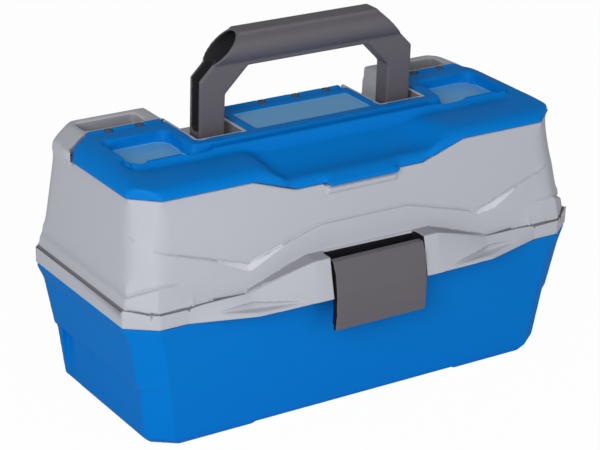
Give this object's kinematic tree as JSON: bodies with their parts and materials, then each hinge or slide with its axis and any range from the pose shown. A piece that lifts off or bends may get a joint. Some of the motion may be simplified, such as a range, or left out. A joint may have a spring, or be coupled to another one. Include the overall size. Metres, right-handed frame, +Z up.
{
  "type": "fishing tackle box",
  "caption": "Portable fishing tackle box with a hinged lid, cantilever trays that lift level, a top cover over small compartments, a front latch and a folding carry handle.",
  "frame": {"origin": "on the floor, under the middle of the box's length and of its rim's depth", "axes": "+X to the right along the front, +Y to the back, +Z up"},
  "size_m": [0.368, 0.1791, 0.255],
  "materials": {
    "blue_shell": "satin moulded polypropylene",
    "blue_cover": "satin with glossy wells",
    "grey_shell": "satin moulded polypropylene",
    "dark_plastic": "fine texture",
    "tray_plastic": "satin",
    "divider_plastic": "smooth",
    "pin_steel": "plain wire"
  },
  "bodies": {
    "tub": {"base_tub": "blue_shell", "lid_hinge_pins": "pin_steel", "arm_root_pins": "pin_steel"},
    "lid": {"lid_shell": "grey_shell", "lower_tray_pins": "pin_steel", "upper_tray_pins": "pin_steel", "handle_pins": "pin_steel", "latch_pin": "pin_steel", "side_cover_pins": "pin_steel", "middle_cover_pin": "pin_steel"},
    "arms": {"arm_left": "dark_plastic", "arm_right": "dark_plastic", "lower_arm_pins": "pin_steel", "upper_arm_pins": "pin_steel"},
    "lower_tray": {"lower_tray": "tray_plastic", "lower_tray_dividers": "divider_plastic"},
    "upper_tray": {"upper_tray": "tray_plastic", "upper_tray_dividers": "divider_plastic"},
    "cover": {"top_cover": "blue_cover"},
    "handle": {"handle": "dark_plastic"},
    "latch": {"latch": "dark_plastic"}
  },
  "joints": [
    {"name": "lid_hinge", "type": "hinge", "parent": "tub", "child": "lid", "pos_m": [0, 0.082, 0.095], "axis": [-1, 0, 0], "range_deg": [0, 100]},
    {"name": "arm_pivot", "type": "hinge", "parent": "tub", "child": "arms", "pos_m": [0, 0.052, 0.086], "axis": [-1, 0, 0], "range_deg": [0, 100]},
    {"name": "lower_tray_pivot", "type": "hinge", "parent": "lid", "child": "lower_tray", "pos_m": [0, 0.032, 0.095], "axis": [-1, 0, 0], "range_deg": [-100, 0]},
    {"name": "upper_tray_pivot", "type": "hinge", "parent": "lid", "child": "upper_tray", "pos_m": [0, -0.003, 0.095], "axis": [-1, 0, 0], "range_deg": [-100, 0]},
    {"name": "cover_hinge", "type": "hinge", "parent": "lid", "child": "cover", "pos_m": [0, 0.041, 0.186], "axis": [-1, 0, 0], "range_deg": [0, 30]},
    {"name": "handle_fold", "type": "hinge", "parent": "lid", "child": "handle", "pos_m": [0, 0.014, 0.176], "axis": [-1, 0, 0], "range_deg": [0, 90]},
    {"name": "latch_swing", "type": "hinge", "parent": "lid", "child": "latch", "pos_m": [0, -0.082, 0.1135], "axis": [-1, 0, 0], "range_deg": [0, 100]}
  ],
  "couplings": [
    {"joint": "arm_pivot", "follows": "lid_hinge", "ratio": 1},
    {"joint": "lower_tray_pivot", "follows": "lid_hinge", "ratio": -1},
    {"joint": "upper_tray_pivot", "follows": "lid_hinge", "ratio": -1}
  ]
}
